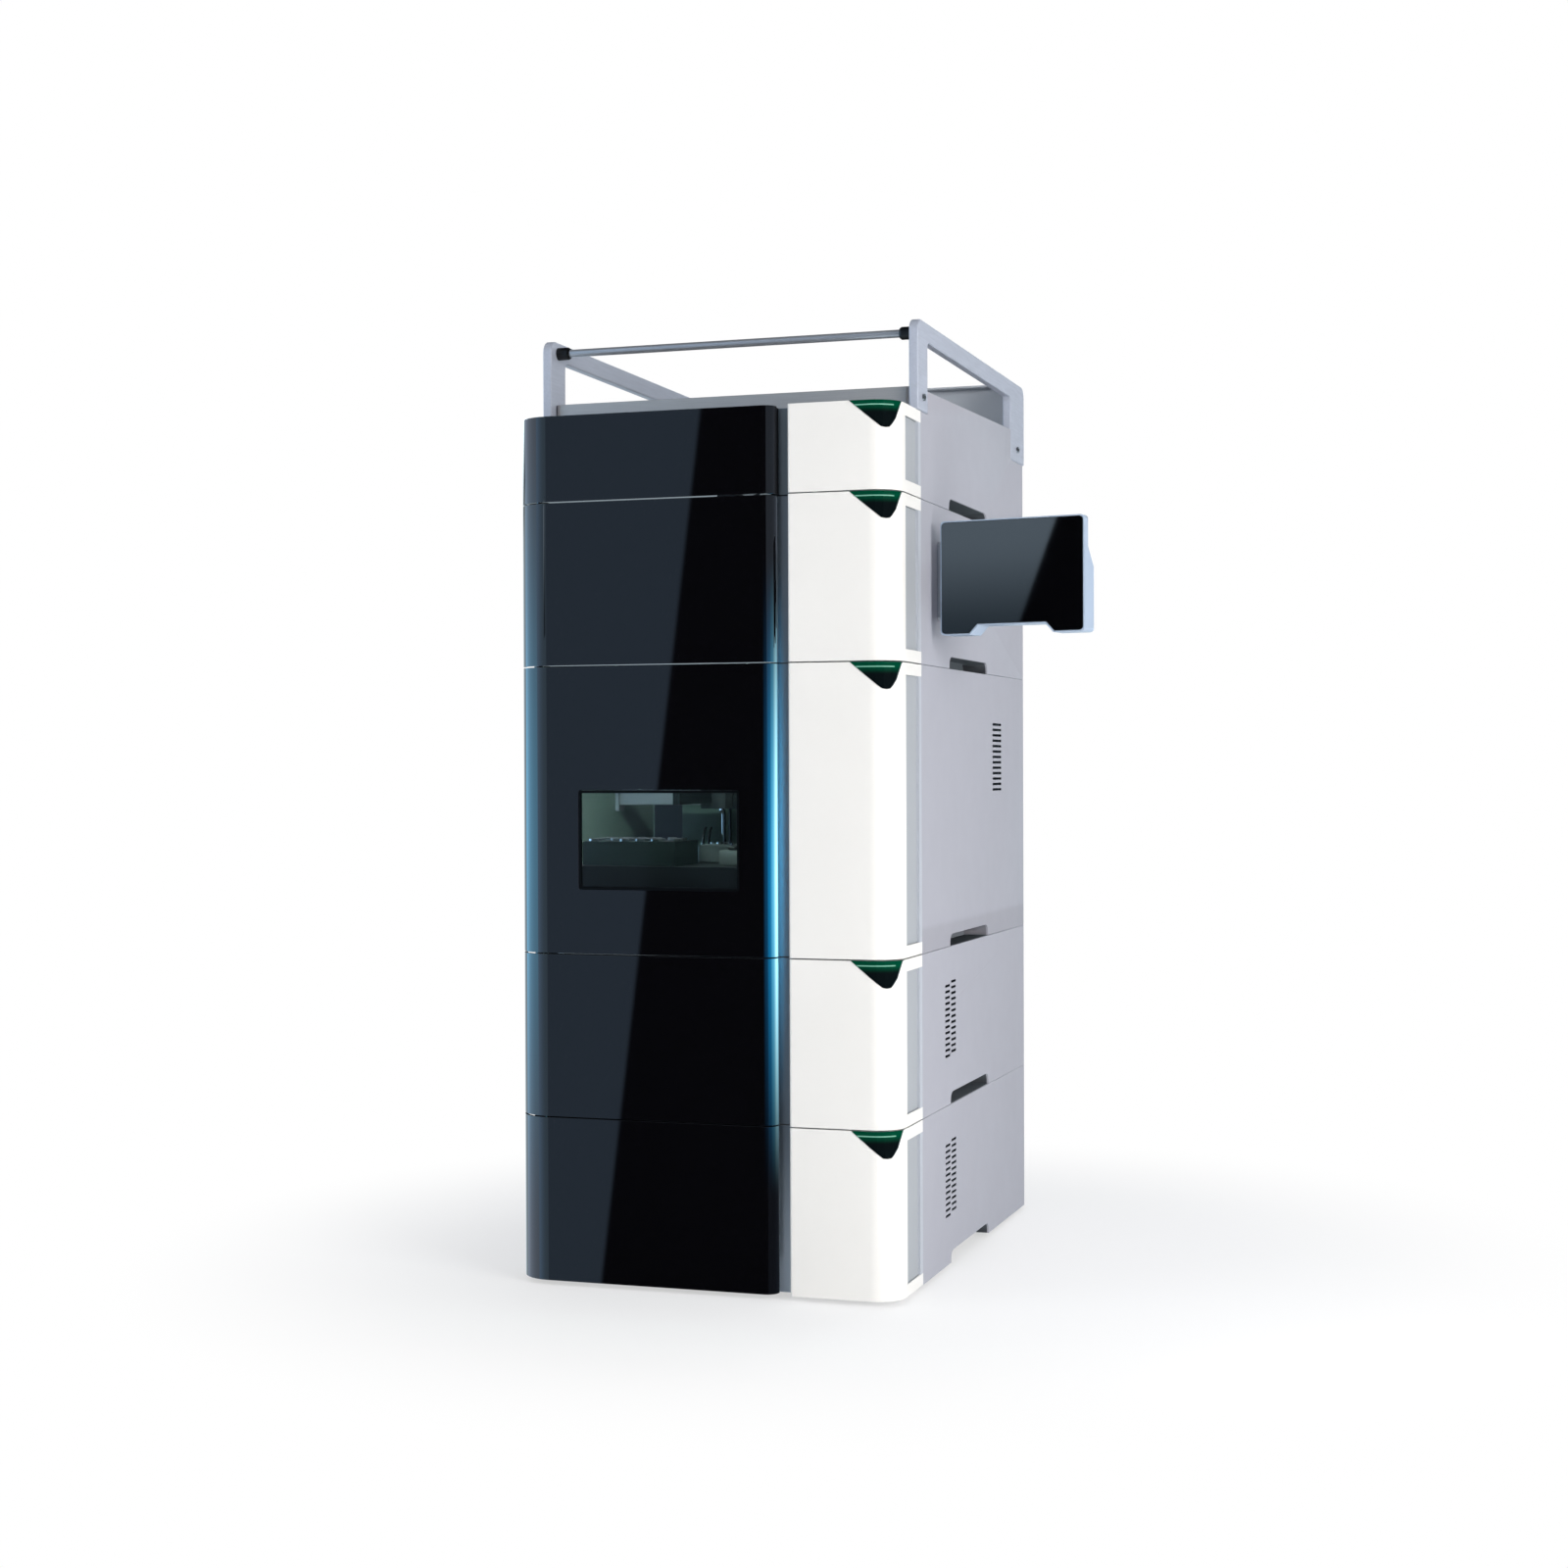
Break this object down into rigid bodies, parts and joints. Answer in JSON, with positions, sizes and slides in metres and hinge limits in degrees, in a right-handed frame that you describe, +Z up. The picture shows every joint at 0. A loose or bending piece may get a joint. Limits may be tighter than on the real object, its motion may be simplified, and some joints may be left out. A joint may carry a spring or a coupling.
{
  "type": "hplc system",
  "caption": "Bench stack of liquid chromatography modules with gloss black hinged fronts, a bottle tray with a rail frame on top and a touch display on a swivel arm.",
  "frame": {"origin": "centre of the bounding box in plan, on the bench surface under the feet", "axes": "+Z up; the fronts face -Y; the display hangs on the +X side"},
  "size_m": [0.5942, 0.5922, 1.0075],
  "materials": {
    "side_panel_paint": "satin lavender-grey powder coat",
    "fascia_white": "smooth satin white",
    "door_black": "high-gloss black",
    "liner_grey": "fine matt grain",
    "pin_steel": "ground",
    "badge_lens": "dark tinted lens",
    "rear_plate_paint": "satin grey",
    "frame_satin": "satin anodised",
    "rod_steel": "polished dark",
    "cap_rubber": "matt black",
    "back_plate_paint": "satin grey-green",
    "bottle_tray_steel": "satin",
    "window_tint": "clear, slightly smoked",
    "deck_grey": "matt dark grey",
    "rack_green": "moulded",
    "block_grey": "moulded",
    "gantry_aluminium": "satin anodised",
    "carriage_grey": "moulded",
    "bright_steel": "ground stainless",
    "knob_black": "moulded",
    "button_silver": "metallised",
    "heater_grey": "anodised grey",
    "cell_grey": "bead-blasted",
    "display_shell": "satin light grey",
    "display_glass_black": "polished glass over a dark screen",
    "arm_grey": "satin grey"
  },
  "bodies": {
    "stack": {"back_plate": "back_plate_paint", "bottle_tray": "bottle_tray_steel", "column_badge": "badge_lens", "column_casing": "side_panel_paint", "column_fascia": "fascia_white", "column_heater": "heater_grey", "column_hinge_pin": "pin_steel", "column_liner": "liner_grey", "column_rear_panel": "rear_plate_paint", "column_tube": "bright_steel", "detector_badge": "badge_lens", "detector_casing": "side_panel_paint", "detector_fascia": "fascia_white", "detector_hinge_pin": "pin_steel", "detector_liner": "liner_grey", "detector_rear_panel": "rear_plate_paint", "display_bracket": "arm_grey", "flow_cell": "cell_grey", "front_rod": "rod_steel", "gantry_rail": "gantry_aluminium", "injection_block": "block_grey", "pump_badge": "badge_lens", "pump_casing": "side_panel_paint", "pump_fascia": "fascia_white", "pump_heads": "bright_steel", "pump_hinge_pin": "pin_steel", "pump_liner": "liner_grey", "pump_rear_panel": "rear_plate_paint", "rod_cap_left": "cap_rubber", "rod_cap_right": "cap_rubber", "sampler_badge": "badge_lens", "sampler_casing": "side_panel_paint", "sampler_deck": "deck_grey", "sampler_fascia": "fascia_white", "sampler_hinge_pin": "pin_steel", "sampler_liner": "liner_grey", "sampler_rear_panel": "rear_plate_paint", "side_frame_left": "frame_satin", "side_frame_right": "frame_satin", "swivel_pin": "pin_steel", "tray_badge": "badge_lens", "tray_casing": "side_panel_paint", "tray_fascia": "fascia_white", "tray_front_panel": "door_black", "tray_rear_panel": "rear_plate_paint", "vial_rack": "rack_green"},
    "pump_door": {"pump_door": "door_black"},
    "column_door": {"column_door": "door_black"},
    "sampler_door": {"sampler_door": "door_black", "sampler_window": "window_tint"},
    "detector_door": {"detector_door": "door_black"},
    "carriage": {"needle_carriage": "carriage_grey"},
    "arm_block": {"needle_block": "carriage_grey"},
    "needle": {"needle": "bright_steel"},
    "purge_knob": {"purge_knob": "knob_black"},
    "power_button": {"power_button": "button_silver"},
    "display_arm": {"display_arm": "arm_grey"},
    "display": {"display_casing": "display_shell", "display_glass": "display_glass_black", "tilt_pin": "pin_steel"}
  },
  "joints": [
    {"name": "pump_door_hinge", "type": "hinge", "parent": "stack", "child": "pump_door", "pos_m": [-0.28707, -0.24345, 0.005], "axis": [0, 0, -1], "range_deg": [0, 100]},
    {"name": "column_door_hinge", "type": "hinge", "parent": "stack", "child": "column_door", "pos_m": [-0.28707, -0.24345, 0.177], "axis": [0, 0, -1], "range_deg": [0, 100]},
    {"name": "sampler_door_hinge", "type": "hinge", "parent": "stack", "child": "sampler_door", "pos_m": [-0.28707, -0.24345, 0.348], "axis": [0, 0, -1], "range_deg": [0, 100]},
    {"name": "detector_door_hinge", "type": "hinge", "parent": "stack", "child": "detector_door", "pos_m": [-0.28707, -0.24345, 0.648], "axis": [0, 0, -1], "range_deg": [0, 100]},
    {"name": "carriage_slide", "type": "slide", "parent": "stack", "child": "carriage", "axis": [1, 0, 0], "range_m": [-0.116, 0.1]},
    {"name": "arm_block_slide", "type": "slide", "parent": "carriage", "child": "arm_block", "axis": [0, -1, 0], "range_m": [0, 0.096]},
    {"name": "needle_slide", "type": "slide", "parent": "arm_block", "child": "needle", "axis": [0, 0, -1], "range_m": [0, 0.022]},
    {"name": "purge_knob_turn", "type": "hinge", "parent": "stack", "child": "purge_knob", "pos_m": [-0.07707, -0.09015, 0.09], "axis": [0, -1, 0], "range_deg": [0, 360]},
    {"name": "power_button_push", "type": "slide", "parent": "stack", "child": "power_button", "axis": [0, 1, 0], "range_m": [0, 0.003], "stiffness_N_per_m": 300},
    {"name": "display_swivel", "type": "hinge", "parent": "stack", "child": "display_arm", "pos_m": [0.14643, -0.10545, 0.7385], "axis": [0, 0, 1], "range_deg": [-5, 60]},
    {"name": "display_tilt", "type": "hinge", "parent": "display_arm", "child": "display", "pos_m": [0.21933, -0.14847, 0.7385], "axis": [-0.9848, 0.1736, 0], "range_deg": [-10, 20]}
  ]
}
